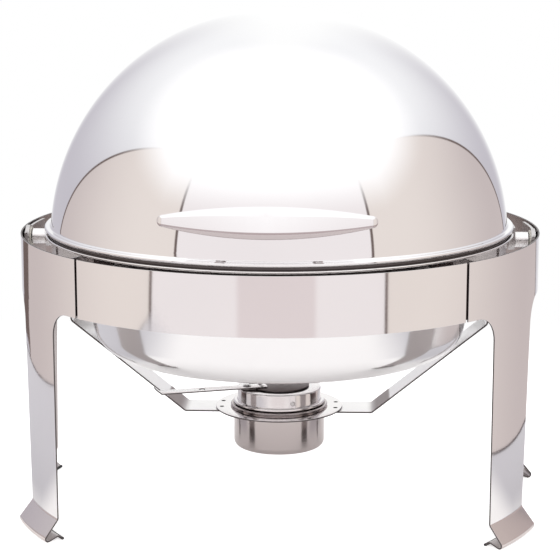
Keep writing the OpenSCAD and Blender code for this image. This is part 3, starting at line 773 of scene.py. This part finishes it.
lid()
handle()
hinges()
band_panels()
side_panels()
rings()
pan("water_pan", top_r=184 * MM, wall_r=168.5 * MM, corner=26 * MM)
pan("food_pan", top_r=178 * MM, wall_r=167 * MM, corner=12 * MM)
burner()
arms()
damper()


# ---------------------------------------------------------------- studio

def studio():
    """A white studio: soft light from above, paper walls at the sides and in front, and an open back.

    It is far away, so each colour goes by direction only. Angles are in degrees, from the front and up.
    """
    centre, low_front = (0.92, 0.87, 0.87), (0.80, 0.72, 0.72)
    wall, wall_low = (0.85, 0.78, 0.735), (0.60, 0.53, 0.52)
    back_low, back_high, open_back = (0.58, 0.56, 0.61), (1.0, 1.01, 1.02), (1.08, 1.09, 1.08)
    edge, light, ground = (0.16, 0.12, 0.11), (1.2, 1.2, 1.2), (0.98, 0.97, 0.97)
    left_wall, right_wall, right_rise = radians(-40), radians(56), 1.03
    thin_line, wide_line, set_back = 0.016, 0.085, 0.13
    corner_at, corner_lean = 48.3, 0.5

    world = bpy.data.worlds.new("studio")
    bpy.context.scene.world = world
    world.use_nodes = True
    tree = world.node_tree
    tree.nodes.clear()
    direction = tree.nodes.new("ShaderNodeTexCoord").outputs["Generated"]
    split = tree.nodes.new("ShaderNodeSeparateXYZ")
    link(tree, direction, split.inputs[0])
    x, y, z = (Num(tree, split.outputs[i]) for i in range(3))
    azimuth = x.op("ARCTAN2", y * -1.0) * (180 / pi)
    height = z.op("ARCSINE") * (180 / pi)
    aside = azimuth.op("ABSOLUTE")
    on_right = x.step(-0.02, 0.02)
    on_left = on_right * -1.0 + 1.0

    def mix(base, colour, share):
        return mixed(tree, base, colour, share)

    # the rear: lavender grey, paler with height and straight behind
    rear = mix(back_low, back_high, height.step(0, 50))
    rear = mix(rear, open_back, aside.step(152, 178))
    # slanting upper edges of the side walls, the left one set back at the height that the band mirrors
    by_band = height.step(-9.2, -9.8) * height.step(-13.5, -12.2)
    left = z - (x * sin(left_wall) - y * cos(left_wall)) - by_band * set_back
    right = z - (x * sin(right_wall) - y * cos(right_wall)) * right_rise
    over = left * on_left + right * on_right
    side = mix(wall, wall_low, aside.step(65, 140) * height.step(50, 10))
    colour = mix(side, rear, over.step(-0.006, 0.006))
    width = by_band * on_left * wide_line + thin_line
    colour = mix(colour, edge, (over.op("ABSOLUTE") - width).step(0.0, -0.012) * height.step(44, 20))
    # the middle of the front, between two upright edges
    corner = aside + height.op("MINIMUM", 0.0) * on_left * corner_lean
    colour = mix(colour, centre, corner.step(corner_at + 0.3, corner_at - 0.3))
    line = (corner - corner_at).op("ABSOLUTE").step(1.0, 0.35)
    colour = mix(colour, edge, line * height.step(36, 26))
    # the photographer's place, low in front
    colour = mix(colour, low_front, (azimuth - 1.0).op("ABSOLUTE").step(18, 15) * height.step(-5, -8))
    # the large soft light overhead
    glow = height - (aside - 60.0).op("MAXIMUM", 0.0) * 0.36
    colour = mix(colour, light, glow.step(16, 40))
    colour = mix(colour, ground, height.step(-22, -30))

    # the camera itself sees plain white
    shown = tree.nodes.new("ShaderNodeBackground")
    shown.inputs["Color"].default_value = (1, 1, 1, 1)
    lit = tree.nodes.new("ShaderNodeBackground")
    link(tree, colour, lit.inputs["Color"])
    pick = tree.nodes.new("ShaderNodeMixShader")
    rays = tree.nodes.new("ShaderNodeLightPath")
    link(tree, rays.outputs["Is Camera Ray"], pick.inputs["Fac"])
    link(tree, lit.outputs[0], pick.inputs[1])
    link(tree, shown.outputs[0], pick.inputs[2])
    out = tree.nodes.new("ShaderNodeOutputWorld")
    link(tree, pick.outputs[0], out.inputs["Surface"])


def floor():
    """A pale sheet between the side walls, which fades out in front and behind, with a painted pool of light under
    the object and painted shade along both walls.
    """
    front, rear, fade = -0.9, 0.75, 0.25
    left_x, left_lean, right_x, right_lean = -0.70, 0.27, 0.447, -0.084
    columns, rows = 40, 60
    # the pale middle tint and its glow paint a pool of light under the object, and the dark rim tint paints shade
    # along both walls
    far_tint, light_pool_tint, wall_shade_tint = (0.64, 0.63, 0.66), (0.95, 0.94, 0.93), (0.10, 0.08, 0.08)
    shown_tint, shown_glow, light_pool_glow = (0.93, 0.93, 0.93), 0.5, 0.12

    verts, faces = [], []
    for i in range(rows + 1):
        y = front + (rear - front) * i / rows
        x0, x1 = left_x + left_lean * y, right_x + right_lean * y
        verts += [(x0 + (x1 - x0) * k / columns, y, 0) for k in range(columns + 1)]
    for i in range(rows):
        for k in range(columns):
            a = i * (columns + 1) + k
            faces.append([a, a + 1, a + columns + 2, a + columns + 1])
    obj = piece("floor", verts, faces)
    mat = bpy.data.materials.new("pale_floor")
    mat.use_nodes = True
    tree = mat.node_tree
    bsdf = tree.nodes["Principled BSDF"]
    bsdf.inputs["Roughness"].default_value = 0.8
    bsdf.inputs["Specular IOR Level"].default_value = 0.05
    coords = tree.nodes.new("ShaderNodeTexCoord")
    split = tree.nodes.new("ShaderNodeSeparateXYZ")
    link(tree, coords.outputs["Object"], split.inputs[0])
    x, y = Num(tree, split.outputs[0]), Num(tree, split.outputs[1])
    aside = x.op("ABSOLUTE")

    # paler under the object and glowing a little there, a painted pool of light; dark along both walls, painted
    # shade; and plain where the camera looks at it
    to_left, to_right = x - (y * left_lean + left_x), (y * right_lean + right_x) - x
    rim = to_left.op("MINIMUM", to_right).step(0.012, 0.006)
    seen = Num(tree, tree.nodes.new("ShaderNodeLightPath").outputs["Is Camera Ray"])
    under_pan = aside.step(0.46, 0.30) * y.step(-0.03, -0.10)
    near = under_pan.op("MAXIMUM", aside.step(0.30, 0.20))
    colour = mixed(tree, far_tint, light_pool_tint, near)
    colour = mixed(tree, colour, wall_shade_tint, rim)
    colour = mixed(tree, colour, shown_tint, seen)
    link(tree, colour, bsdf.inputs["Base Color"])
    bsdf.inputs["Emission Color"].default_value = (1, 1, 1, 1)
    # the extra glow near the object is a painted pool of light
    link(tree, (seen * shown_glow + near * light_pool_glow).socket, bsdf.inputs["Emission Strength"])
    inside = y.step(rear, rear - fade) * y.step(front, front + fade)
    link(tree, inside.socket, bsdf.inputs["Alpha"])
    obj.data.materials.append(mat)


def camera():
    """At the photo's angle: slightly right of straight in front, and a little above the lid's pivot."""
    away, rise, turn, pitch = 1.576, 0.2736, radians(2.6), radians(11.22)
    data = bpy.data.cameras.new("camera")
    data.sensor_width, data.lens, data.shift_x = 36.0, 113.7, 0.0016
    cam = bpy.data.objects.new("camera", data)
    bpy.context.scene.collection.objects.link(cam)
    cam.location = (away * sin(turn), AXIS_Y - away * cos(turn), PIVOT_Z + rise)
    cam.rotation_euler = (pi / 2 - pitch, 0, turn)
    bpy.context.scene.camera = cam


studio()
floor()
camera()
bpy.context.scene.view_settings.view_transform = "Standard"
